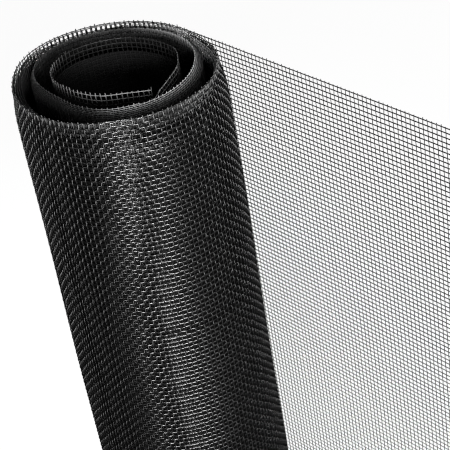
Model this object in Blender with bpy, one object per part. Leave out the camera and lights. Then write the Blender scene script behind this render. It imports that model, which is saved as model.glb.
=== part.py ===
"""A roll of black fiberglass insect screen, standing on its end, with its loose end led away from it.

Metres, +Z up. The origin is the middle of the footprint on the surface that the roll stands on.
Angles are in degrees, counted from +X towards +Y round the roll's own axis. The cloth is wound
clockwise going outwards, seen from above, in three groups of turns: an outer band, a middle band that
lies against the outer one at the back and clear of it at the front, and one loose innermost turn with
a free end. The outermost turn leaves the roll along a tangent and stands beside it as a flat panel.
"""
import bmesh
import bpy
import numpy as np
from mathutils import Vector
from mathutils.geometry import delaunay_2d_cdt

# Driving dimensions
clothWidth = 0.610
panelLength = 0.120
panelAngle = 38.9
panelDistance = 0.0275
panelThickness = 0.0012
touchGap = 0.0003
outerThickness = 0.0018
middleThickness = 0.0019
middleSwell = 0.0005
innerThickness = 0.0012

# Outlines seen from above, each a short list of stations: angle round the roll, radius there
outerFace = ((0, 0.0300), (62, 0.0291), (105, 0.0303), (140, 0.0303), (180, 0.0300),
             (215, 0.0300), (262, 0.0302), (305, 0.0300))
middleInside = ((0, 0.0219), (23, 0.0234), (46, 0.0245), (95, 0.0257), (147, 0.0256), (173, 0.0231),
                (197, 0.0206), (217, 0.0197), (240, 0.0212), (264, 0.0224), (293, 0.0217), (325, 0.0212))

# The loose turn, clockwise from its free end to where it runs into the middle band
innerTurn = ((302, 0.0173), (292, 0.0158), (280, 0.0147), (252, 0.0147), (227, 0.0148), (198, 0.0160),
             (177, 0.0180), (159, 0.0193), (136, 0.0199), (107, 0.0196), (82, 0.0195), (47, 0.0186),
             (24, 0.0187), (7, 0.0177), (-13, 0.0172), (-30, 0.0170), (-47, 0.0183), (-62, 0.0205),
             (-78, 0.0229))

ringSteps = 12
turnSteps = 5
mergeDistance = 0.00001


def smoothRoute(stations, steps, closed):
    """Angles and radii along a cubic curve through the stations, each span cut into equal steps."""
    knots = np.array(stations)
    if closed:
        turn = np.array([360.0, 0.0])
        knots = np.concatenate([knots[-1:] - turn, knots, knots[:2] + turn])
    else:
        knots = np.concatenate([2 * knots[:1] - knots[1:2], knots, 2 * knots[-1:] - knots[-2:-1]])
    spans = np.arange(1, len(knots) - 2)
    slopes = (knots[2:] - knots[:-2]) / 2
    slopes = np.concatenate([slopes[:1], slopes, slopes[-1:]])
    span = np.repeat(spans, steps)
    t = np.tile(np.arange(steps) / steps, len(spans))[:, None]
    route = ((2 * t**3 - 3 * t**2 + 1) * knots[span] + (t**3 - 2 * t**2 + t) * slopes[span]
             + (3 * t**2 - 2 * t**3) * knots[span + 1] + (t**3 - t**2) * slopes[span + 1])
    if not closed:
        route = np.concatenate([route, knots[-2:-1]])
    return route[:, 0], route[:, 1]


def wallStrip(angles, inside, outside, closed):
    """A wall seen from above: points on its two faces, and the quads between them, turned to run
    counterclockwise also where the wall runs clockwise."""
    turn = np.radians(angles)
    ray = np.stack([np.cos(turn), np.sin(turn)], axis=1)
    points = np.concatenate([ray * inside[:, None], ray * outside[:, None]])
    count = len(angles)
    here = np.arange(count if closed else count - 1)
    after = (here + 1) % count
    quads = np.stack([here, here + count, after + count, after], axis=1)
    if angles[-1] < angles[0]:
        quads = quads[:, ::-1]
    return points, quads


def outerWall():
    """The outer band, flattened along the line where the panel leaves the roll."""
    angles, radii = smoothRoute(outerFace, ringSteps, True)
    lean = np.cos(np.radians(angles - panelAngle))
    flat = (panelDistance - touchGap) / np.maximum(lean, 0.5)
    radii = np.minimum(radii, flat)
    return wallStrip(angles, radii - outerThickness, radii, True)


def middleWall():
    """The middle band, thicker at the right than at the left by a cosine of the angle."""
    angles, radii = smoothRoute(middleInside, ringSteps, True)
    thickness = middleThickness + middleSwell * np.cos(np.radians(angles))
    return wallStrip(angles, radii, radii + thickness, True)


def innerWall():
    """The single loose turn, open round its free end."""
    angles, radii = smoothRoute(innerTurn, turnSteps, False)
    half = innerThickness / 2
    return wallStrip(angles, radii - half, radii + half, False)


def unitedSection(walls):
    """The walls' quads laid over each other in the plane, cut where they cross and kept once."""
    points = []
    quads = []
    for wallPoints, wallQuads in walls:
        quads += (wallQuads + len(points)).tolist()
        points += [Vector(point) for point in wallPoints]
    result = delaunay_2d_cdt(points, [], quads, 1, mergeDistance, True)
    corners, triangles, owners = result[0], result[2], result[5]
    kept = [face for face, owner in zip(triangles, owners) if owner]
    return corners, kept


def addObject(name, mesh, location, turn, material):
    """An object in the scene that shows the mesh."""
    mesh.materials.append(material)
    piece = bpy.data.objects.new(name, mesh)
    piece.location = location
    piece.rotation_euler = (0.0, 0.0, turn)
    bpy.context.scene.collection.objects.link(piece)
    return piece


def clothMaterial(name, colour):
    """Vinyl coated glass cloth: black, slightly shiny."""
    material = bpy.data.materials.new(name)
    material.use_nodes = True
    shader = material.node_tree.nodes["Principled BSDF"]
    shader.inputs["Base Color"].default_value = (colour, colour, colour, 1.0)
    shader.inputs["Roughness"].default_value = 0.45
    shader.inputs["Metallic"].default_value = 0.0
    return material


def buildRoll(axis):
    """The wound form: the section of all three walls, raised to the cloth's width."""
    corners, faces = unitedSection([outerWall(), middleWall(), innerWall()])
    shape = bmesh.new()
    verts = [shape.verts.new((corner.x, corner.y, 0.0)) for corner in corners]
    for face in faces:
        shape.faces.new([verts[index] for index in face])
    loose = [vert for vert in shape.verts if not vert.link_faces]
    bmesh.ops.delete(shape, geom=loose, context="VERTS")
    bmesh.ops.dissolve_degenerate(shape, dist=mergeDistance, edges=shape.edges[:])
    top = bmesh.ops.extrude_face_region(shape, geom=shape.faces[:])["geom"]
    raised = [part for part in top if isinstance(part, bmesh.types.BMVert)]
    bmesh.ops.translate(shape, verts=raised, vec=(0.0, 0.0, clothWidth))
    bmesh.ops.recalc_face_normals(shape, faces=shape.faces[:])
    mesh = bpy.data.meshes.new("wound_roll")
    shape.to_mesh(mesh)
    shape.free()
    return addObject("wound_roll", mesh, (*axis, 0.0), 0.0, clothMaterial("wound cloth", 0.018))


def buildPanel(axis):
    """The loose end: a flat panel from the tangent point outwards, upright on its lower edge."""
    shape = bmesh.new()
    bmesh.ops.create_cube(shape, size=1.0)
    bmesh.ops.scale(shape, verts=shape.verts[:], vec=(panelLength, panelThickness, clothWidth))
    mesh = bpy.data.meshes.new("loose_end")
    shape.to_mesh(mesh)
    shape.free()
    middle = panelCentre() + axis
    turn = np.radians(panelAngle - 90.0)
    place = (*middle, clothWidth / 2)
    return addObject("loose_end", mesh, place, turn, clothMaterial("loose cloth", 0.022))


def panelDirections():
    """Unit vectors away from the roll's axis and along the panel."""
    turn = np.radians(panelAngle)
    away = np.array([np.cos(turn), np.sin(turn)])
    along = np.array([np.sin(turn), -np.cos(turn)])
    return away, along


def panelCentre():
    """The middle of the panel in the plan, measured from the roll's axis."""
    away, along = panelDirections()
    return away * (panelDistance + panelThickness / 2) + along * panelLength / 2


def rollAxis():
    """Where the roll's axis stands, so that the whole footprint is centred on the origin."""
    away, along = panelDirections()
    farCorner = away * (panelDistance + panelThickness) + along * panelLength
    nearCorner = away * panelDistance + along * panelLength
    outline = outerWall()[0]
    plan = np.concatenate([outline, [farCorner, nearCorner]])
    return -(plan.min(axis=0) + plan.max(axis=0)) / 2


def main():
    for old in list(bpy.data.objects):
        bpy.data.objects.remove(old, do_unlink=True)
    axis = rollAxis()
    print("roll axis at", np.round(axis, 5), "loose end centre at", np.round(axis + panelCentre(), 5))
    buildRoll(axis)
    buildPanel(axis)


main()
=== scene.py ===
import math

import bpy
import numpy as np
from mathutils import Matrix, Vector


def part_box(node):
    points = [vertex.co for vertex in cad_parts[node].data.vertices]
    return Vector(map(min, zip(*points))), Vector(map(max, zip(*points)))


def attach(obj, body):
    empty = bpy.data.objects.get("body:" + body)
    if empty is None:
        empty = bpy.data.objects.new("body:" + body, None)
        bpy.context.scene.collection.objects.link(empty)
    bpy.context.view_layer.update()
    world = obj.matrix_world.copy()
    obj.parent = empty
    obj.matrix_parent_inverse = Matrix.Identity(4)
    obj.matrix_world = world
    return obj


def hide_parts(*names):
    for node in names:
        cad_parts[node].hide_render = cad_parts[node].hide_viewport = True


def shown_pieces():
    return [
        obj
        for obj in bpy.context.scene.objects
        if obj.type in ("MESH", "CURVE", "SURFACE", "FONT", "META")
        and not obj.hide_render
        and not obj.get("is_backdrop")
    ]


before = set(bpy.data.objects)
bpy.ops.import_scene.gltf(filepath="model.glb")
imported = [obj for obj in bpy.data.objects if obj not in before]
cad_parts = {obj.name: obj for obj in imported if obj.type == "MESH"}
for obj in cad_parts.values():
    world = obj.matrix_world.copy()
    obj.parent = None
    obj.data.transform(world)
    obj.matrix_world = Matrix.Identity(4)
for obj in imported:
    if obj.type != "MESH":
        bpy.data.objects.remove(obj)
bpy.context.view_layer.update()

# A roll of black fiberglass insect screen, standing on end, its loose end led off to the front right.
# Lengths are in metres, angles in degrees round the roll's own axis, from +X towards +Y.
# "Wound" is the angle travelled along the cloth from the tangent point inwards; it grows with the angle.
# A range of four angles is a plateau: where it starts, is full, ends and is gone.

weave = {
    "rowPitch": 0.00151,         # between threads that run round the roll, measured along its axis
    "columnPitch": 0.00145,      # between threads that stand upright, measured along the cloth
    "rowRadius": 0.00016,        # of the cross threads
    "uprightRadius": 0.00017,
    "sides": 4,                  # faces round each thread
    "uprightSwing": 0.00016,     # how far an upright thread bows over and under the ones that it crosses
    "crossSwing": 0.00012,       # and a cross thread
    "uprightPhase": 1.5,         # half cells that put the shine of a thread on its outward bows
    "crossPhase": 0.5,
    "unevenness": 0.00004,       # how far a thread strays from its even place
    "evenRows": 120,             # rows below the rim that keep the even pitch
    "wovenRows": 106,            # rows below the rim whose bows are modelled
    "footHeight": 0.0006,        # of the lowest row
    "footGap": 0.0002,           # below the upright threads
    "tick": 0.00045,             # by which the outermost turn's thread ends stand above its top row
    "tickLow": 0.6,              # the shortest thread end, as a share of the mean
    "tickHigh": 1.3,             # and the longest
    "tickLean": 0.12,            # how far it leans aside, as a share of its length
    "seed": 7,
}
dice = np.random.default_rng(weave["seed"])

roll = {
    "backReach": 0.0299,         # from the roll's axis to the back of its CAD solid
    "tangentAngle": 38.9,        # where the loose end leaves the roll
    "tangentDistance": 0.0281,   # from the roll's axis to the loose end's plane
    "rimHeight": 0.6080,         # of the outermost turn's edge, taken at the axis
    "outerTurns": 5,
    "middleEnd": 4203.1,         # wound angle where the middle band ends and the loose turn begins
    "innerSpan": 380.0,          # degrees of the loose turn
    "bandBlend": 50.0,           # degrees to each side of their border over which the bands' outlines mix
    "outerPitch": 0.00034,       # from turn to turn in the outer band
    "outerLoose": 0.00026,       # added at the left, where the outer turns lie further apart
    "looseAngle": 195.0,
    "looseSpread": 50.0,
    "middleThickness": 0.0019,   # of the middle band
    "middleSwell": 0.0005,       # more at the right, less at the left
    "segment": 9.0,              # degrees from one point of a turn to the next
    "looseSegment": 4.0,         # and of the loose turn
    "fineSegment": 1.0,          # and of the outer turn where each thread shows
}
outerEnd = 360.0 * roll["outerTurns"]
clothEnd = roll["middleEnd"] + roll["innerSpan"]
rowCount = 1 + int(round((roll["rimHeight"] - weave["footHeight"]) / weave["rowPitch"]))

# Outlines seen from above, as stations of angle and radius
outerFace = ((0, 0.0289), (39, 0.0281), (62, 0.0291), (105, 0.0303), (140, 0.0303), (180, 0.0291),
             (215, 0.0299), (262, 0.0302), (305, 0.0296))
middleInside = ((0, 0.0219), (23, 0.0234), (46, 0.0245), (95, 0.0257), (147, 0.0256), (173, 0.0231),
                (197, 0.0206), (217, 0.0197), (240, 0.0212), (264, 0.0224), (293, 0.0217), (325, 0.0212))
innerTurn = ((-78, 0.0219), (-62, 0.0204), (-47, 0.0183), (-30, 0.0170), (-13, 0.0172), (7, 0.0177),
             (24, 0.0187), (47, 0.0186), (82, 0.0195), (107, 0.0196), (136, 0.0199), (159, 0.0193),
             (177, 0.0180), (198, 0.0160), (227, 0.0148), (252, 0.0147), (280, 0.0147), (292, 0.0158),
             (302, 0.0173))

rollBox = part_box("wound_roll")
axisX = (rollBox[0][0] + rollBox[1][0]) / 2
axisY = rollBox[1][1] - roll["backReach"]


# Radius through the stations: a cubic curve on each span, its slopes the mean of the spans beside it
def curveThrough(stations, angle, closed):
    table = np.array(stations, float)
    if closed:
        turn = np.array([360.0, 0.0])
        table = np.concatenate([table[-2:] - turn, table, table[:2] + turn])
        angle = np.mod(angle - table[2, 0], 360.0) + table[2, 0]
    slope = np.gradient(table[:, 1], table[:, 0])
    low = np.clip(np.searchsorted(table[:, 0], angle, side="right") - 1, 0, len(table) - 2)
    width = table[low + 1, 0] - table[low, 0]
    t = np.clip((angle - table[low, 0]) / width, 0.0, 1.0)
    return ((2 * t**3 - 3 * t**2 + 1) * table[low, 1] + (t**3 - 2 * t**2 + t) * width * slope[low]
            + (3 * t**2 - 2 * t**3) * table[low + 1, 1] + (t**3 - t**2) * width * slope[low + 1])


# Smooth step from 0 to 1 while the value goes from low to high: three squares less two cubes
def ease(value, low, high):
    t = np.clip((value - low) / (high - low), 0.0, 1.0)
    return t * t * (3 - 2 * t)


# Plateau over a range of angles: one smooth step up times one smooth step down
def plateau(angle, start, full, end, gone):
    return ease(angle, start, full) * (1 - ease(angle, end, gone))


# Bell round an angle: 1 there, falling to nothing as the square of the distance grows
def bell(angle, centre, spread):
    away = np.mod(angle - centre + 180.0, 360.0) - 180.0
    return np.exp(-(away / spread) ** 2)


# Radius of the cloth at a wound angle: the outer outline less a pitch for each turn, eased into the
# middle outline plus its remaining turns, and then the loose turn's own stations
def windingRadius(wound):
    angle = wound + roll["tangentAngle"]
    pitch = roll["outerPitch"] + roll["outerLoose"] * bell(angle, roll["looseAngle"], roll["looseSpread"])
    outer = curveThrough(outerFace, angle, True) - pitch * wound / 360.0
    thickness = roll["middleThickness"] + roll["middleSwell"] * np.cos(np.radians(angle))
    left = (roll["middleEnd"] - wound) / (roll["middleEnd"] - outerEnd)
    middle = curveThrough(middleInside, angle, True) + thickness * left
    blend = ease(wound, outerEnd - roll["bandBlend"], outerEnd + roll["bandBlend"])
    inner = curveThrough(innerTurn, wound - roll["middleEnd"] + innerTurn[0][0], False)
    radius = outer * (1 - blend) + middle * blend
    return np.where(wound > roll["middleEnd"], inner, radius)


# The body below the rim is rounder than the rim, and gently uneven
body = {
    "flareRight": 0.0014,        # how far it stands out below the rim at the right
    "rightAngle": -12.0,
    "rightSpread": 42.0,
    "flareLeft": 0.0009,         # and at the left
    "leftAngle": 180.0,
    "leftSpread": 45.0,
    "flareDepth": 0.0055,        # depth at which most of that is reached
    "ripple": 0.00016,           # height of its waves
    "rippleTurn": 60.0,          # their length round the roll, in degrees
    "rippleDepth": 0.095,        # and down it
    "rippleStart": 0.005,        # depths between which they set in
    "rippleFull": 0.035,
    "fadeStart": 900.0,          # wound angles between which flare and waves die away inwards
    "fadeEnd": 1800.0,
    "tangentClear": 35.0,        # degrees beside the tangent point over which they set in
}


# Extra radius of the body below the rim: a bell at the right and one at the left, growing with depth, and
# waves, a sine of the angle times a cosine of the depth
def flare(wound, depth):
    angle = wound + roll["tangentAngle"]
    fade = 1 - ease(wound, body["fadeStart"], body["fadeEnd"])
    clear = ease(np.abs(np.mod(wound + 180.0, 360.0) - 180.0), 0.0, body["tangentClear"])
    out = (body["flareRight"] * bell(angle, body["rightAngle"], body["rightSpread"]) * clear
           + body["flareLeft"] * bell(angle, body["leftAngle"], body["leftSpread"]))
    out = out * (1 - np.exp(-(depth / body["flareDepth"]) ** 2))
    wave = np.sin(2 * np.pi * angle / body["rippleTurn"]) * np.cos(2 * np.pi * depth / body["rippleDepth"])
    wave = wave * clear * ease(depth, body["rippleStart"], body["rippleFull"])
    return (out + body["ripple"] * wave) * fade


# Points of the cloth: radius and angle turned into x and y round the roll's axis
def windingPoint(wound, depth):
    angle = np.radians(wound + roll["tangentAngle"])
    radius = windingRadius(wound) + flare(wound, depth)
    return axisX + radius * np.cos(angle), axisY + radius * np.sin(angle)


rim = {
    "tiltX": -0.0347,            # how the rim slopes, as height gained per metre
    "tiltY": -0.0227,
    "secondDrop": 0.00021,       # how much lower the second turn stands than the first
    "outerDrop": 0.0021,         # and the fifth
    "middleDrop": 0.0024,        # and the middle band's outermost turn
    "tuckDrop": 0.0010,          # and the loose turn where it leaves the middle band
    "rightLift": 0.8,            # share of their drop that the inner turns lack at the back right
    "rightAngle": 48.0,
    "rightSpread": 14.0,
    "leftLift": 0.75,            # and at the left
    "leftAngle": 165.0,
    "leftSpread": 36.0,
    "backSag": 0.0013,           # how much lower still they stand at the back left
    "backRange": (84.0, 98.0, 116.0, 142.0),
    "leftDrop": 0.0004,          # more for the second turn at the left, out of step with the first
    "leftRange": (138.0, 165.0, 215.0, 240.0),
    "secondStart": 360.0,        # wound angles at which the second turn starts and ends
    "secondEnd": 700.0,
    "pastOuter": 100.0,          # degrees past the outer band that still count as its inner turns
}

# How far the cloth's edge stands below the rim: stations of wound angle and drop, straight between them
rimDrops = np.array([
    (0.0, 0.0), (290.0, 0.0), (400.0, rim["secondDrop"]), (outerEnd, rim["outerDrop"]),
    (outerEnd + 150.0, rim["middleDrop"]), (roll["middleEnd"], 0.0),
    (roll["middleEnd"] + 10.0, rim["tuckDrop"]), (roll["middleEnd"] + 18.0, rim["tuckDrop"]),
    (roll["middleEnd"] + 25.0, 0.0), (clothEnd, 0.0)])


# Height of the cloth's upper edge: a sloping plane, less a drop by the wound angle that two bells lessen
# on the inner turns, less a sag at the back left and a small drop of the second turn at the left
def rimTop(wound, x, y):
    angle = np.mod(wound + roll["tangentAngle"], 360.0)
    drop = np.interp(wound, rimDrops[:, 0], rimDrops[:, 1])
    second = (wound > rim["secondStart"]) * (wound < rim["secondEnd"])
    inner = (wound > rim["secondEnd"]) * (wound < outerEnd + rim["pastOuter"])
    lift = (rim["rightLift"] * bell(angle, rim["rightAngle"], rim["rightSpread"])
            + rim["leftLift"] * bell(angle, rim["leftAngle"], rim["leftSpread"]))
    drop = drop * (1 - lift * inner)
    drop = drop + rim["backSag"] * plateau(angle, *rim["backRange"]) * inner
    drop = drop + rim["leftDrop"] * plateau(angle, *rim["leftRange"]) * second
    return roll["rimHeight"] + rim["tiltX"] * (x - axisX) + rim["tiltY"] * (y - axisY) - drop


# Height of a row counted from the upper edge: even steps at first, then steps that share out what is
# left down to the foot
def rowHeight(top, row):
    even = weave["evenRows"]
    last = top - even * weave["rowPitch"]
    share = (row - even) / (rowCount - 1 - even)
    return np.where(row <= even, top - row * weave["rowPitch"], last + (weave["footHeight"] - last) * share)


# Points of the polygon that all threads of a turn follow: between its knots the cloth is straight
def polygonPoint(knots, wound, depth):
    low = np.clip(np.searchsorted(knots, wound, side="right") - 1, 0, len(knots) - 2)
    share = ((wound - knots[low]) / (knots[low + 1] - knots[low]))[..., None]
    lowX, lowY = windingPoint(knots[low][..., None], depth)
    highX, highY = windingPoint(knots[low + 1][..., None], depth)
    return lowX + (highX - lowX) * share, lowY + (highY - lowY) * share


# Length of the cloth from the first point to each: the sum of the straight steps
def lengthAlong(x, y):
    return np.concatenate([[0.0], np.cumsum(np.hypot(np.diff(x), np.diff(y)))])


# Knots of a turn or a run of turns: even angles, about a segment apart, and the cloth's length up to each
def turnKnots(start, end, segment):
    knots = np.linspace(start, end, int(round((end - start) / segment)) + 1)
    return knots, lengthAlong(*windingPoint(knots, 0.0))


# The second turn nests in the first: its net stands a fraction of a cell off it. Seen from the front it
# covers the first net, save in a band that wanders down the roll, where it lies half a cell off
nesting = {
    "bandTop": 268.0,            # angle of that band at the rim
    "bandShift": -19.0,          # how far it wanders
    "bandDepth": 0.080,          # over this depth
    "bandWidth": 13.0,
    "bandSlip": 0.5,             # the net's shift there, in cells
    "radius": 0.0295,            # of the turn, for the angle that a cell takes
    "behind": 0.25,              # from thread to thread at the front, in cells at 45 degrees to the view
    "beside": 0.25,              # and elsewhere
    "gap": 0.32,                 # between the two turns at the back, in cells
    "frontAngle": 270.0,         # where the view meets the front squarely
    "frontLimit": 60.0,
    "backAngle": 93.5,           # and the back
    "backLow": -60.0,
    "backHigh": 72.0,
    "frontRange": (205.0, 235.0, 330.0, 350.0),
    "leftRange": (140.0, 165.0, 200.0, 220.0),
    "rightStart": 44.0,          # angles between which two threads beside each other close up
    "rightEnd": 60.0,
}


# Shift of the second net in cells: a bell across the band, whose middle moves with a smooth step of depth
def nestingSlip(angle, depth):
    centre = nesting["bandTop"] + nesting["bandShift"] * ease(depth, 0.0, nesting["bandDepth"])
    return nesting["bandSlip"] * bell(angle, centre, nesting["bandWidth"])


# A mesh from quads, with one map that holds cloth coordinates: cells along the thread, thread number
def makeMesh(name, points, quads, cloth, material):
    mesh = bpy.data.meshes.new(name)
    mesh.vertices.add(len(points))
    mesh.vertices.foreach_set("co", points.ravel())
    mesh.loops.add(quads.size)
    mesh.loops.foreach_set("vertex_index", quads.ravel())
    mesh.polygons.add(len(quads))
    mesh.polygons.foreach_set("loop_start", np.arange(0, quads.size, 4))
    mesh.polygons.foreach_set("use_smooth", np.full(len(quads), True))
    mesh.update(calc_edges=True)
    layer = mesh.uv_layers.new(name="cloth")
    layer.data.foreach_set("uv", cloth[quads.ravel()].ravel())
    mesh.materials.append(material)
    piece = bpy.data.objects.new(name, mesh)
    bpy.context.scene.collection.objects.link(piece)
    return piece


# Threads as tubes: each centre plus a cosine of one side vector and a sine of the other, where the first
# side crossed with the second points along the thread. A quad closes each end of a capped one. The map's
# thread number grows by less than a half round the tube, so that its whole part stays the same
def threadTubes(centres, sideA, sideB, along, number, capped=True):
    threads, samples = centres.shape[:2]
    sides = weave["sides"]
    turn = np.arange(sides) * 2 * np.pi / sides
    sideA = np.broadcast_to(sideA, centres.shape)[:, :, None]
    sideB = np.broadcast_to(sideB, centres.shape)[:, :, None]
    ring = sideA * np.cos(turn)[:, None] + sideB * np.sin(turn)[:, None]
    points = (centres[:, :, None] + ring).reshape(-1, 3)
    along = np.broadcast_to(along, (threads, samples))[:, :, None]
    number = np.broadcast_to(number, (threads, samples))[:, :, None]
    cloth = np.stack(np.broadcast_arrays(along, number + turn / (4 * np.pi)), -1)
    thread, sample, side = np.meshgrid(np.arange(threads), np.arange(samples - 1), np.arange(sides),
                                       indexing="ij")
    after = (side + 1) % sides
    here = (thread * samples + sample) * sides
    there = here + sides
    quads = np.stack([here + side, here + after, there + after, there + side], -1).reshape(-1, 4)
    if capped:
        start = np.arange(threads)[:, None] * samples * sides + np.arange(sides)
        quads = np.concatenate([quads, start[:, ::-1], start + (samples - 1) * sides])
    return points, quads, cloth.reshape(-1, 2)


# Several sets of tubes as one: their points in a row, their quads moved up by the points before them
def joined(parts):
    shift = np.cumsum([0] + [len(part[0]) for part in parts[:-1]])
    quads = np.concatenate([part[1] + move for part, move in zip(parts, shift)])
    return np.concatenate([part[0] for part in parts]), quads, np.concatenate([part[2] for part in parts])


# Cross threads round the roll: each row follows the turn's knots, or, where it shows close by, every
# upright thread in turn, bowed out over one and in under the next
def crossThreads(knots, length, rows, places=None, slips=False, radius=weave["rowRadius"]):
    wound = knots if places is None else np.concatenate([knots[:1], places, knots[-1:]])
    x, y = polygonPoint(knots, wound, np.zeros(1))
    top = rimTop(wound, x[:, 0], y[:, 0])[None, :]
    z = rowHeight(top, rows[:, None])
    depth = top - z
    x, y = polygonPoint(knots, wound, depth.T)
    x, y = x.T, y.T
    if slips:
        z = z + nestingSlip(wound[None, :] + roll["tangentAngle"], depth) * weave["rowPitch"]
    z = z + dice.normal(0.0, weave["unevenness"], len(rows))[:, None]
    ahead = np.stack([np.gradient(x, axis=1), np.gradient(y, axis=1), 0 * x], -1)
    ahead /= np.linalg.norm(ahead, axis=2)[:, :, None]
    up = np.array([0.0, 0.0, 1.0])
    outward = np.cross(ahead, up)
    centres = np.stack([x, y, z], -1)
    along = np.interp(wound, knots, length) / weave["columnPitch"]
    if places is not None:
        column = np.arange(-1, len(places) + 1)
        over = (column + rows[:, None]) % 2 == 0
        centres = centres + outward * np.where(over, weave["crossSwing"], -weave["crossSwing"])[:, :, None]
        along = column + weave["crossPhase"]
    return threadTubes(centres, up * radius, outward * radius, along, rows[:, None])


# Where upright threads stand: wound angles at even distances along the knots, each strayed a little
def columnPlaces(knots, length):
    count = int(length[-1] / weave["columnPitch"])
    place = (np.arange(count) + 0.5) * length[-1] / count
    place = place + dice.normal(0.0, weave["unevenness"], count)
    return np.interp(place, length, knots)


# Places of the second turn's upright threads: behind the first turn's, as seen from the front, and beside
# them from the back round to the left, where two threads show as one thick one. Behind means a shift by
# the tangent of the angle to the view
def nestedPlaces(places):
    angle = np.mod(places + roll["tangentAngle"], 360.0)
    side = np.clip(angle - nesting["frontAngle"], -nesting["frontLimit"], nesting["frontLimit"])
    back = np.clip(angle - nesting["backAngle"], nesting["backLow"], nesting["backHigh"])
    front = plateau(angle, *nesting["frontRange"])
    close = ease(angle, nesting["rightStart"], nesting["rightEnd"])
    spread = 2 - close + plateau(angle, *nesting["leftRange"])
    beside = nesting["beside"] * spread - np.tan(np.radians(back)) * nesting["gap"]
    away = nesting["behind"] * np.tan(np.radians(side)) * front - beside * (1 - front)
    cell = np.degrees(weave["columnPitch"] / nesting["radius"])
    return np.clip(places + 360.0 + away * cell, 360.0, 720.0)


# What all upright threads share: depth below the rim and height at each station, the first a thread end
# above the rim; a bow out or in by turns of row and thread; the lean of the thread end; and the map
def uprightCourse(top, depths, swing, tick):
    count = len(top)
    tip = depths[None, :] < 0
    below = np.maximum(depths, 0.0)[None, :]
    depth = np.minimum(below + 0 * top, top - weave["footGap"])
    size = (dice.uniform(weave["tickLow"], weave["tickHigh"], count) * tick)[:, None]
    z = np.where(tip, top + size, top - depth)
    number = np.arange(count)[:, None]
    row = np.round(below / weave["rowPitch"]) + number
    bow = np.where(row % 2 > 0.5, swing, -swing)
    lean = dice.normal(0.0, weave["tickLean"], count)[:, None] * size * tip
    return depth, z, bow, lean, below / weave["rowPitch"] + weave["uprightPhase"], number


# Upright threads of the roll: at given depths below the rim they follow the cloth's polygon, moved out by
# their bow and sideways by their lean and by the second turn's slip
def uprightThreads(knots, places, depths, swing, tick, slips=False, radius=weave["uprightRadius"]):
    x, y = polygonPoint(knots, places, np.zeros(1))
    top = rimTop(places, x[:, 0], y[:, 0])[:, None]
    depth, z, bow, lean, along, number = uprightCourse(top, depths, swing, tick)
    x, y = polygonPoint(knots, places, depth)
    angle = (places + roll["tangentAngle"])[:, None] + 0 * depth
    across = lean + nestingSlip(angle, depth) * weave["columnPitch"] if slips else lean
    turn = np.radians(angle)
    outward = np.stack([np.cos(turn), np.sin(turn), 0 * z], -1)
    sideways = np.stack([-np.sin(turn), np.cos(turn), 0 * z], -1)
    centres = np.stack([x, y, z], -1) + outward * bow[:, :, None] + sideways * across[:, :, None]
    return threadTubes(centres, sideways * radius, outward * radius, along, number)


courses = {
    "tip": -1.0,                 # marks the station above the rim
    "upperDepth": 0.14,          # stations of a thread without bows: close together down to here
    "upperPoints": 22,
    "upperPower": 1.5,           # and wider apart the further down they are
    "lowerPoints": 5,            # even ones from there to the foot
    "pastFoot": 0.002,           # far enough for the longest thread; each is cut at its own foot
}


# Depths below the rim at which an upright thread has a point: the tip, then every woven row, or steps that
# grow as a power of their number, then a few to the foot
def depthStations(bowed):
    if bowed:
        upper = np.arange(weave["wovenRows"] + 2) * weave["rowPitch"]
    else:
        share = np.linspace(0.0, 1.0, courses["upperPoints"]) ** courses["upperPower"]
        upper = share * courses["upperDepth"]
    lower = np.linspace(upper[-1], roll["rimHeight"] + courses["pastFoot"], courses["lowerPoints"])
    return np.concatenate([[courses["tip"]], upper, lower[1:]])


looseEnd = {
    "width": 0.610,              # of the whole cloth, from its upper to its lower edge
    "length": 0.120,
    "edgeSlope": -0.0125,        # its upper edge runs slightly down away from the roll
    "crossSteps": 12,
    "tick": 0.00045,
    "rowRadius": 0.00019,
    "uprightRadius": 0.00014,
    "swing": 0.00006,            # stretched straight, its upright threads bow less
    "rimShare": 1.04,            # share of rowRadius that its rows have at the rim
    "thinning": 0.46,            # share of it that they lose further down
    "thinStart": 0.03,           # between these depths
    "thinEnd": 0.15,
}


# The loose end continues the outermost turn along its tangent: distance along it and height give a point
def sheetPoint(distance, height):
    angle = math.radians(roll["tangentAngle"])
    x = axisX + roll["tangentDistance"] * math.cos(angle) + distance * math.sin(angle)
    y = axisY + roll["tangentDistance"] * math.sin(angle) - distance * math.cos(angle)
    return np.stack(np.broadcast_arrays(x, y, height), -1)


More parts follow.
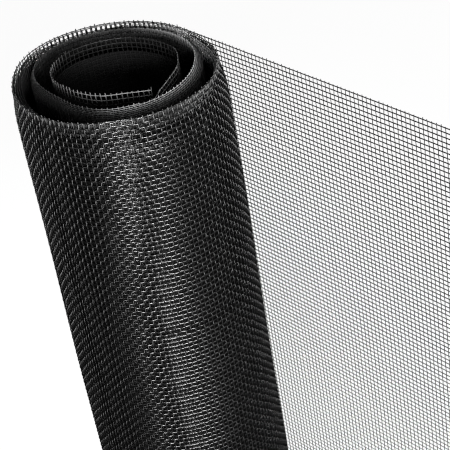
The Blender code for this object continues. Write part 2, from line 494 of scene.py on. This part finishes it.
# Loose end: straight rows and nearly straight upright threads on the tangent plane, its upper edge a
# straight line that starts at the rim. Its strands stay open at their ends
def buildLooseEnd(material):
    angle = math.radians(roll["tangentAngle"])
    outward = np.array([math.cos(angle), math.sin(angle), 0.0])
    ahead = np.array([math.sin(angle), -math.cos(angle), 0.0])
    up = np.array([0.0, 0.0, 1.0])
    start = sheetPoint(np.array([0.0]), 0.0)[0]
    edge = float(rimTop(np.array([0.0]), start[0], start[1])[0])

    distance = np.linspace(0.0, looseEnd["length"], looseEnd["crossSteps"] + 1)
    rows = np.arange(rowCount)[:, None]
    z = rowHeight((edge + looseEnd["edgeSlope"] * distance)[None, :], rows)
    z = z + dice.normal(0.0, weave["unevenness"], rowCount)[:, None]
    share = ease(roll["rimHeight"] - z, looseEnd["thinStart"], looseEnd["thinEnd"])
    radius = looseEnd["rowRadius"] * (looseEnd["rimShare"] - looseEnd["thinning"] * share)[:, :, None]
    across = threadTubes(sheetPoint(distance[None, :], z), up * radius, -outward * radius,
                         distance / weave["columnPitch"], rows, False)

    count = int(looseEnd["length"] / weave["columnPitch"])
    place = (np.arange(count) + 0.5) * weave["columnPitch"] + dice.normal(0.0, weave["unevenness"], count)
    top = (edge + looseEnd["edgeSlope"] * place)[:, None]
    course = uprightCourse(top, depthStations(True), looseEnd["swing"], looseEnd["tick"])
    depth, z, bow, lean, along, number = course
    centres = sheetPoint(place[:, None], z) + outward * bow[:, :, None] + ahead * lean[:, :, None]
    radius = looseEnd["uprightRadius"]
    upright = threadTubes(centres, -ahead * radius, outward * radius, along, number, False)
    return makeMesh("loose_end_net", *joined([across, upright]), material)


# Thin walls just inside the turns whose threads are modelled: they stand for the layers of net further in.
# Each starts at a wound angle and spans some degrees; its top lies a depth below the rim, or higher at the
# left; its outer face lies an inset within the cloth
backings = {
    "outer_backing": {
        "start": 720.0, "span": 360.0, "points": 91, "levels": 73,
        "inset": -0.00014, "depth": 0.004, "leftRise": 0.0022, "finish": "outer layers",
    },
    "middle_backing": {
        "start": outerEnd + 1080.0, "span": 360.0, "points": 91, "levels": 5,
        "inset": 0.0, "depth": 0.005, "leftRise": 0.0, "finish": "middle layers",
    },
    "loose_backing": {
        "start": roll["middleEnd"] + 30.0, "span": roll["innerSpan"] - 30.0, "points": 81, "levels": 5,
        "inset": 0.0, "depth": 0.0042, "leftRise": 0.0, "finish": "middle layers",
    },
}
walls = {
    "foot": 0.002,               # height of their lower edges
    "thickness": 0.00025,
    "leftAngle": 160.0,          # where the top rises
    "leftSpread": 28.0,
}


# A closed thin wall along the winding: an outer and an inner face on a grid of angle and height, joined at
# the top, the foot and both ends. Its top is the rim less a depth plus a bell at the left
def buildBacking(name, wall, material):
    wound = np.linspace(wall["start"], wall["start"] + wall["span"], wall["points"])
    angle = wound + roll["tangentAngle"]
    x, y = windingPoint(wound, 0.0)
    edge = rimTop(wound, x, y)
    top = edge - wall["depth"] + wall["leftRise"] * bell(angle, walls["leftAngle"], walls["leftSpread"])
    z = walls["foot"] + (top - walls["foot"])[None, :] * np.linspace(0.0, 1.0, wall["levels"])[:, None]
    turn = np.radians(angle)
    radius = windingRadius(wound)[None, :] + flare(wound[None, :], edge[None, :] - z) - wall["inset"]
    outer, inner = [np.stack([axisX + face * np.cos(turn), axisY + face * np.sin(turn), z], -1)
                    for face in (radius, radius - walls["thickness"])]
    loop = np.concatenate([outer, inner[::-1]])
    along = lengthAlong(x, y) / weave["columnPitch"]
    across = np.concatenate([z, z[::-1]]) / weave["rowPitch"]
    cloth = np.stack([np.broadcast_to(along, across.shape), across], -1)
    rows, count = loop.shape[:2]
    row, spot = np.meshgrid(np.arange(rows), np.arange(count - 1), indexing="ij")
    here = row * count + spot
    there = (row + 1) % rows * count + spot
    quads = np.stack([here, here + 1, there + 1, there], -1).reshape(-1, 4)
    low = np.arange(wall["levels"] - 1)
    start = np.stack([low, low + 1, rows - 2 - low, rows - 1 - low], -1) * count
    quads = np.concatenate([quads, start, start[:, ::-1] + count - 1])
    return makeMesh(name, loop.reshape(-1, 3), quads, cloth.reshape(-1, 2), material)


# Give a socket a shader value by a link, or a plain value
def plug(value, socket):
    if isinstance(value, Field):
        value.tree.links.new(value.socket, socket)
    else:
        socket.default_value = value


# A shader value: arithmetic on it adds Math nodes, also when a plain number comes first
class Field:
    def __init__(self, tree, socket):
        self.tree = tree
        self.socket = socket

    def math(self, operation, *others):
        node = self.tree.nodes.new("ShaderNodeMath")
        node.operation = operation
        for value, socket in zip((self, *others), node.inputs):
            plug(value, socket)
        return Field(self.tree, node.outputs[0])

    def __add__(self, other):
        return self.math("ADD", other)

    def __mul__(self, other):
        return self.math("MULTIPLY", other)

    def __sub__(self, other):
        return self.math("SUBTRACT", other)

    def __rsub__(self, other):
        return (self * -1.0) + other

    def __pow__(self, other):
        return self.math("POWER", other)

    def clamped(self):
        return self.math("MAXIMUM", 0.0).math("MINIMUM", 1.0)

    __radd__ = __add__
    __rmul__ = __mul__


# The nodes of a material or a world: node() adds any node from its type, settings and inputs and gives one
# of its outputs, and feed() fills a socket of the shader
class Finish:
    def __init__(self, owner, shader="Principled BSDF"):
        owner.use_nodes = True
        self.owner = owner
        self.tree = owner.node_tree
        self.shader = self.tree.nodes[shader]

    def node(self, kind, output, settings=None, inputs=None):
        node = self.tree.nodes.new(kind)
        for key, value in (settings or {}).items():
            setattr(node, key, value)
        for key, value in (inputs or {}).items():
            plug(value, node.inputs[key])
        return Field(self.tree, node.outputs[output])

    def feed(self, socket, value):
        plug(value, self.shader.inputs[socket])

    def split(self, vector, axes):
        return [self.node("ShaderNodeSeparateXYZ", axis, None, {"Vector": vector}) for axis in axes]

    def place(self):
        return self.node("ShaderNodeTexCoord", "Object")

    def cloth(self):
        return self.split(self.node("ShaderNodeUVMap", "UV", {"uv_map": "cloth"}), "XY")

    def noise(self, scale):
        return self.node("ShaderNodeTexNoise", "Fac", None, {"Vector": self.place(), "Scale": scale})

    # The colour sockets of a Mix node, by their numbers
    def mix(self, share, first, second):
        return self.node("ShaderNodeMix", 2, {"data_type": "RGBA"}, {0: share, 6: first, 7: second})

    def bump(self, strength, distance, height):
        return self.node("ShaderNodeBump", "Normal", None,
                         {"Strength": strength, "Distance": distance, "Height": height})


# An even grey as a colour
def grey(value):
    return value, value, value, 1.0


# Looks of the threads. Each look's crest colour is a painted highlight on the crests of the weave; its edge
# colour is painted light for the light that gets in among the turns near the upper edge
crossing = {
    "dark": grey(0.0008),
    "crestHighlight": grey(0.003),        # painted highlight on the crests of the weave
    "edge": grey(0.03),          # painted light at the upper edge
    "edgeDepth": 0.0018,         # down to which it reaches
    "edgePower": 1.0,            # how much faster than evenly it falls off
    "edgeAzimuth": 290.0,        # side of the roll that gets the painted light
    "edgeRise": 125.0,           # how fast it grows towards that side, per metre
    "edgeSpread": 0.0,           # how far it reaches past the axis to the other side
    "edgeAway": 0.0,             # share of it that the other side gets
    "crest": 1.2,                # lower values make the bright crests longer
    "trough": 0.08,              # how much rougher a thread looks between its crests
    "roughness": 0.25,
    "dull": 0.0,                 # how much rougher it is below the edge
    "swell": 0.00010,            # height of the bump along it
    "gloss": 1.0,
    "index": 1.63,
}
standing = dict(crossing, crestHighlight=grey(0.010), edge=grey(0.10), crest=0.8, trough=0.12, roughness=0.30,
                gloss=0.7, index=1.56)
behind = dict(crossing, trough=0.10, roughness=0.30, swell=0.00006, index=1.85)
# The second turn's upright threads are a darker copy: a dimmer painted highlight, as painted shade under
# the turn in front
behindStanding = dict(standing, crestHighlight=grey(0.004), gloss=0.4, index=1.5)
# The loose turn and the bands get stronger painted light at their upper edges, each towards its own azimuth
loose = dict(crossing, crestHighlight=grey(0.005), edge=grey(0.34), edgeDepth=0.0040, edgePower=2.0,
             edgeAzimuth=300.0, edgeAway=0.06, crest=1.0, roughness=0.46, dull=0.40, swell=0.00006,
             gloss=0.7, index=1.5)
rung = dict(loose, edge=grey(0.26), edgeDepth=0.0033, edgeAzimuth=220.0, edgeAway=0.03)
stretched = dict(crossing, crestHighlight=grey(0.008), crest=2.0, trough=0.04, roughness=0.28, swell=0.00006,
                 index=1.5)
within = dict(loose, edge=grey(0.66), edgeDepth=0.0046, edgePower=3.6, edgeAzimuth=347.0, edgeRise=50.0,
              edgeSpread=0.12, edgeAway=0.07)
inside = dict(within, edge=grey(0.42), edgeDepth=0.0100, edgePower=1.5, edgeAzimuth=15.0, edgeRise=60.0,
              edgeSpread=-0.4, edgeAway=0.05)
threadLooks = {"row": crossing, "upright": standing, "second row": behind, "second upright": behindStanding,
               "middle thread": within, "outer thread": inside, "loose row": loose, "loose upright": rung}

# How uneven all threads are: scales of a fine and a broad noise, and their shares
grain = {
    "fine": 900.0,
    "broad": 60.0,
    "fineShade": 0.8,            # share in how bright a crest's painted highlight is
    "broadShade": 0.5,
    "edgeShade": 0.6,            # and how strong the painted light at the edge is
    "edgeLeast": 0.7,
    "roughness": 0.10,
    "height": 0.15,              # of the fine noise as bump, as a share of the weave's
}


# Share of the upper edge, from Object coordinates: 1 on the rim's sloping plane, falling evenly to 0 at a
# depth below it; and the painted light there, a power of that share, less on the side away from an azimuth
def edgeShare(finish, look):
    x, y, z = finish.split(finish.place(), "XYZ")
    middle = roll["rimHeight"] - rim["tiltX"] * axisX - rim["tiltY"] * axisY
    below = x * rim["tiltX"] + y * rim["tiltY"] + middle - z
    share = (below * (-1 / look["edgeDepth"]) + 1.0).clamped()
    turn = math.radians(look["edgeAzimuth"])
    front = (x - axisX) * math.cos(turn) + (y - axisY) * math.sin(turn)
    front = (front * look["edgeRise"] + look["edgeSpread"]).clamped()
    return share, share ** look["edgePower"] * (front * (1 - look["edgeAway"]) + look["edgeAway"])


# Thread finish: black vinyl with a painted highlight on the crests where it bows over another thread, and
# painted light near its upper edge. Crests follow one sine along the thread for each crossing, opposite on
# the next thread; noise varies the painted highlight, the painted edge light and the gloss
def threadFinish(name, look):
    finish = Finish(bpy.data.materials.new(name))
    along, number = finish.cloth()
    share, lit = edgeShare(finish, look)
    swell = ((along + number.math("FLOOR")) * math.pi).math("SINE")
    fine = finish.noise(grain["fine"])
    broad = finish.noise(grain["broad"])
    crest = (swell * 0.5 + 0.5) ** look["crest"]
    # Painted highlight: the crest share, varied by noise, mixes the crest colour over the dark thread
    shade = crest * (fine * grain["fineShade"] + broad * grain["broadShade"])
    thread = finish.mix(shade, look["dark"], look["crestHighlight"])
    # Painted light near the upper edge, varied by noise, mixed over the thread colour
    lit = lit * (fine * grain["edgeShade"] + grain["edgeLeast"])
    finish.feed("Base Color", finish.mix(lit, thread, look["edge"]))
    finish.feed("Roughness", fine * grain["roughness"] + (1 - crest) * look["trough"]
                + (1 - share) * look["dull"] + (look["roughness"] - grain["roughness"] / 2))
    finish.feed("Normal", finish.bump(1.0, look["swell"], swell + fine * grain["height"]))
    finish.feed("Specular IOR Level", look["gloss"])
    finish.feed("IOR", look["index"])
    return finish.owner


outerLayers = {
    "gap": grey(0.001),
    "threads": grey(0.003),
    "near": (0.3, 0.15),         # shift of the nearer net along and across, in cells
    "far": (0.75, 0.6),          # and of the further one
    "farShare": 0.55,            # how much of the further one shows
    "narrow": 4.0,               # higher values make the threads narrower
    "grain": 400.0,
    "grainShade": 0.6,
    "least": 0.6,
    "bump": 0.8,
    "depth": 0.0001,
    "gloss": 0.22,
    "roughness": 0.46,
    "smoother": 0.2,             # how much less rough the threads are than the gaps
}
# The middle layers are the same net painted a lighter grey than the outer layers: painted light in the
# hollow inside the roll
middleLayers = dict(outerLayers, gap=grey(0.014), threads=grey(0.032), depth=0.0002, gloss=0.0,
                    roughness=0.65)


# Backing finish: two layers of the same net out of step, each thread a narrow crest, a power of a cosine
def backingFinish(name, look):
    finish = Finish(bpy.data.materials.new(name))
    along, across = finish.cloth()

    def crest(value, shift):
        wave = ((value + shift) * (2 * math.pi)).math("COSINE")
        return (wave * 0.5 + 0.5) ** look["narrow"]

    def layer(shifts):
        return crest(along, shifts[0]).math("MAXIMUM", crest(across, shifts[1]))

    net = layer(look["near"]).math("MAXIMUM", layer(look["far"]) * look["farShare"])
    shade = net * (finish.noise(look["grain"]) * look["grainShade"] + look["least"])
    finish.feed("Base Color", finish.mix(shade, look["gap"], look["threads"]))
    finish.feed("Roughness", net * -look["smoother"] + look["roughness"])
    finish.feed("Specular IOR Level", look["gloss"])
    finish.feed("Normal", finish.bump(look["bump"], look["depth"], net))
    return finish.owner


# Everything that belongs to the roll stands for its CAD solid and rides on the row's one body
def belongs(piece, node):
    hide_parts(node)
    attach(piece, "root")


# The turns inside the second, of which only the rim and the foot show
bands = {
    "topRows": 27,               # rows at the rim
    "footRows": 9,               # and at the foot
    "topDepths": (courses["tip"], 0.0, 0.010, 0.020, 0.040),      # where an upright thread has points
    "footHeights": (0.013, -courses["pastFoot"]),
    "looseLead": 3.1,            # degrees by which the loose turn starts before the middle band's end
    "radius": 0.00012,           # of the threads
    "looseRadius": 0.00015,
    "tick": 0.00020,             # thread ends above the last row
    "lastTick": 1.2,             # share by which they are longer on the last turn of the middle band
    "lastTurn": 370.0,           # degrees that count as that turn
    "looseTick": 0.00085,        # of the loose turn, at its front left
    "looseTickLow": 0.35,        # and their share of that elsewhere
    "tickAngle": 235.0,
    "tickSpread": 32.0,
    "endTick": 0.0013,           # of the thread at its free end
}


# Cross and upright threads of a run of turns, at its rim and at its foot
def bandThreads(knots, length, places, tick, radius):
    rows = np.arange(rowCount)
    across = [crossThreads(knots, length, rows[:bands["topRows"]], radius=radius),
              crossThreads(knots, length, rows[-bands["footRows"]:], radius=radius)]
    topDepths = np.array(bands["topDepths"])
    footDepths = roll["rimHeight"] - np.array(bands["footHeights"])
    upright = [uprightThreads(knots, places, topDepths, 0.0, tick, radius=radius),
               uprightThreads(knots, places, footDepths, 0.0, tick, radius=radius)]
    return across, upright


# Two bands of turns, and the loose turn with one more upright thread at its free end. The thread ends are
# longer on the middle band's last turn, and on the loose turn by a bell at its front left
def buildBands(finishes):
    looseStart = roll["middleEnd"] - bands["looseLead"]
    pieces = []
    for name, start, end, finish in (("outer_band", 720.0, outerEnd, "outer thread"),
                                     ("middle_band", outerEnd, looseStart, "middle thread")):
        knots, length = turnKnots(start, end, roll["segment"])
        places = columnPlaces(knots, length)
        last = places > looseStart - bands["lastTurn"]
        tick = bands["tick"] * (1 + bands["lastTick"] * last)
        across, upright = bandThreads(knots, length, places, tick, bands["radius"])
        pieces.append(makeMesh(name, *joined(across + upright), finishes[finish]))
        print(name, "made")

    knots, length = turnKnots(looseStart, clothEnd, roll["looseSegment"])
    places = np.append(columnPlaces(knots, length), clothEnd)
    tall = bell(places + roll["tangentAngle"], bands["tickAngle"], bands["tickSpread"])
    tick = bands["looseTick"] * (bands["looseTickLow"] + (1 - bands["looseTickLow"]) * tall)
    tick[-1] = bands["endTick"]
    across, upright = bandThreads(knots, length, places, tick, bands["looseRadius"])
    pieces.append(makeMesh("loose_turn_rows", *joined(across), finishes["loose row"]))
    pieces.append(makeMesh("loose_turn_uprights", *joined(upright), finishes["loose upright"]))
    print("loose turn made")
    return pieces


# The outermost turn, woven thread by thread where it shows and plain below, the second turn nested in it,
# the bands further in, and the backing walls
def buildRoll(finishes):
    rows = np.arange(rowCount)
    woven, plain = rows[:weave["wovenRows"]], rows[weave["wovenRows"]:]
    knots, length = turnKnots(0.0, 360.0, roll["fineSegment"])
    places = columnPlaces(knots, length)
    pieces = [
        makeMesh("outer_turn_near_rows", *crossThreads(knots, length, woven, places), finishes["row"]),
        makeMesh("outer_turn_uprights", *uprightThreads(
            knots, places, depthStations(True), weave["uprightSwing"], weave["tick"]), finishes["upright"])]
    knots, length = turnKnots(0.0, 360.0, roll["segment"])
    pieces.append(makeMesh("outer_turn_rows", *crossThreads(knots, length, plain), finishes["row"]))
    print("outer turn made")

    knots, length = turnKnots(360.0, 720.0, roll["segment"])
    pieces.append(makeMesh("second_turn_rows", *crossThreads(knots, length, rows, None, True),
                           finishes["second row"]))
    pieces.append(makeMesh("second_turn_uprights", *uprightThreads(
        knots, nestedPlaces(places), depthStations(False), 0.0, bands["tick"], True),
        finishes["second upright"]))
    print("second turn made")

    pieces += buildBands(finishes)
    pieces += [buildBacking(name, wall, finishes[wall["finish"]]) for name, wall in backings.items()]
    for piece in pieces:
        belongs(piece, "wound_roll")
    print("backings made")


view = {
    "elevation": 34.80,          # of the camera, as seen from the rim's middle
    "roll": -9.895,              # about its line of sight
    "distance": 0.41699,         # from the rim's middle
    "right": 0.022485,           # moved sideways
    "up": -0.047691,             # and up, both before it is rolled
    "lens": 120.12,              # in millimetres, as is the sensor
    "sensor": 36.0,
    "near": 0.01,
    "far": 100.0,
}


# Camera: the rim's middle plus distance, right and up along the camera's own directions, which are then
# rolled about the line of sight
def buildCamera():
    elevation = math.radians(view["elevation"])
    tilt = math.radians(view["roll"])
    back = np.array([0.0, -math.cos(elevation), math.sin(elevation)])
    right = np.array([1.0, 0.0, 0.0])
    up = np.cross(back, right)
    matrix = np.eye(4)
    matrix[:3, 0] = right * math.cos(tilt) + up * math.sin(tilt)
    matrix[:3, 1] = up * math.cos(tilt) - right * math.sin(tilt)
    matrix[:3, 2] = back
    matrix[:3, 3] = (np.array([axisX, axisY, roll["rimHeight"]]) + back * view["distance"]
                     + right * view["right"] + up * view["up"])
    data = bpy.data.cameras.new("camera")
    data.lens = view["lens"]
    data.sensor_width = view["sensor"]
    data.clip_start = view["near"]
    data.clip_end = view["far"]
    camera = bpy.data.objects.new("camera", data)
    camera.matrix_world = Matrix(matrix.tolist())
    bpy.context.scene.collection.objects.link(camera)
    bpy.context.scene.camera = camera


studio = {
    "surroundings": 0.02,        # strength of the room's light on the object
    "floor": 0.1,                # its grey
    "floorGlow": 0.96,           # what makes it pale
    "floorReach": 6.0,           # from its middle to each side
    "filterWidth": 1.2,          # threads about one pixel wide stay crisp
    "lampDistance": 1.0,
    "lampAim": 0.05,             # depth below the rim that the lamps look at
}

# Each lamp's direction from there, its width and height, and its power
lamps = {
    "key": {"azimuth": 275.0, "elevation": 8.0, "size": (0.3, 0.4), "watts": 17.0},
    "low key": {"azimuth": 277.0, "elevation": -12.0, "size": (0.3, 0.4), "watts": 6.0},
    "high right": {"azimuth": 350.0, "elevation": 60.0, "size": (0.4, 0.3), "watts": 0.6},
    "back": {"azimuth": 112.0, "elevation": 5.0, "size": (0.4, 0.4), "watts": 5.0},
}


# An area lamp: its aim plus a distance along its azimuth and elevation, turned to look back at the aim
def addLamp(name, azimuth, elevation, size, watts):
    turn = math.radians(azimuth)
    rise = math.radians(elevation)
    aim = np.array([axisX, axisY, roll["rimHeight"] - studio["lampAim"]])
    away = np.array([math.cos(turn) * math.cos(rise), math.sin(turn) * math.cos(rise), math.sin(rise)])
    data = bpy.data.lights.new(name, "AREA")
    data.shape = "RECTANGLE"
    data.size, data.size_y = size
    data.energy = watts
    lamp = bpy.data.objects.new(name, data)
    lamp.location = Vector(aim + away * studio["lampDistance"])
    lamp.visible_camera = False
    lamp.rotation_mode = "QUATERNION"
    lamp.rotation_quaternion = Vector(away).to_track_quat("Z", "Y")
    bpy.context.scene.collection.objects.link(lamp)


# The floor and what lies beyond it show white to the camera; the roll itself is lit by the lamps and a
# dim room, so that the gaps between its threads stay dark
def buildStudio():
    scene = bpy.context.scene
    scene.view_settings.view_transform = "Standard"
    scene.cycles.filter_width = studio["filterWidth"]
    scene.world = bpy.data.worlds.new("studio")
    room = Finish(scene.world, "Background")
    path = room.node("ShaderNodeLightPath", "Is Camera Ray")
    room.feed("Strength", path * (1.0 - studio["surroundings"]) + studio["surroundings"])
    room.feed("Color", grey(1.0))

    finish = Finish(bpy.data.materials.new("pale floor"))
    finish.feed("Base Color", grey(studio["floor"]))
    finish.feed("Roughness", 1.0)
    finish.feed("Specular IOR Level", 0.0)
    finish.feed("Emission Color", grey(1.0))
    finish.feed("Emission Strength", studio["floorGlow"])
    mesh = bpy.data.meshes.new("floor")
    reach = studio["floorReach"]
    corners = [(-reach, -reach, 0), (reach, -reach, 0), (reach, reach, 0), (-reach, reach, 0)]
    mesh.from_pydata(corners, [], [(0, 1, 2, 3)])
    mesh.materials.append(finish.owner)
    floor = bpy.data.objects.new("floor", mesh)
    floor.visible_diffuse = False
    floor.visible_glossy = False
    scene.collection.objects.link(floor)
    floor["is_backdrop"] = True
    for name, lamp in lamps.items():
        addLamp(name, **lamp)


rollFinishes = {name: threadFinish(name, look) for name, look in threadLooks.items()}
rollFinishes["outer layers"] = backingFinish("outer layers", outerLayers)
rollFinishes["middle layers"] = backingFinish("middle layers", middleLayers)
buildRoll(rollFinishes)
sheet = buildLooseEnd(threadFinish("sheet thread", stretched))
belongs(sheet, "loose_end")
print("loose end made")
buildStudio()
buildCamera()
print("studio and camera set")
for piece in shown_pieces():
    print(piece.name, len(piece.data.polygons) * 2, "triangles")
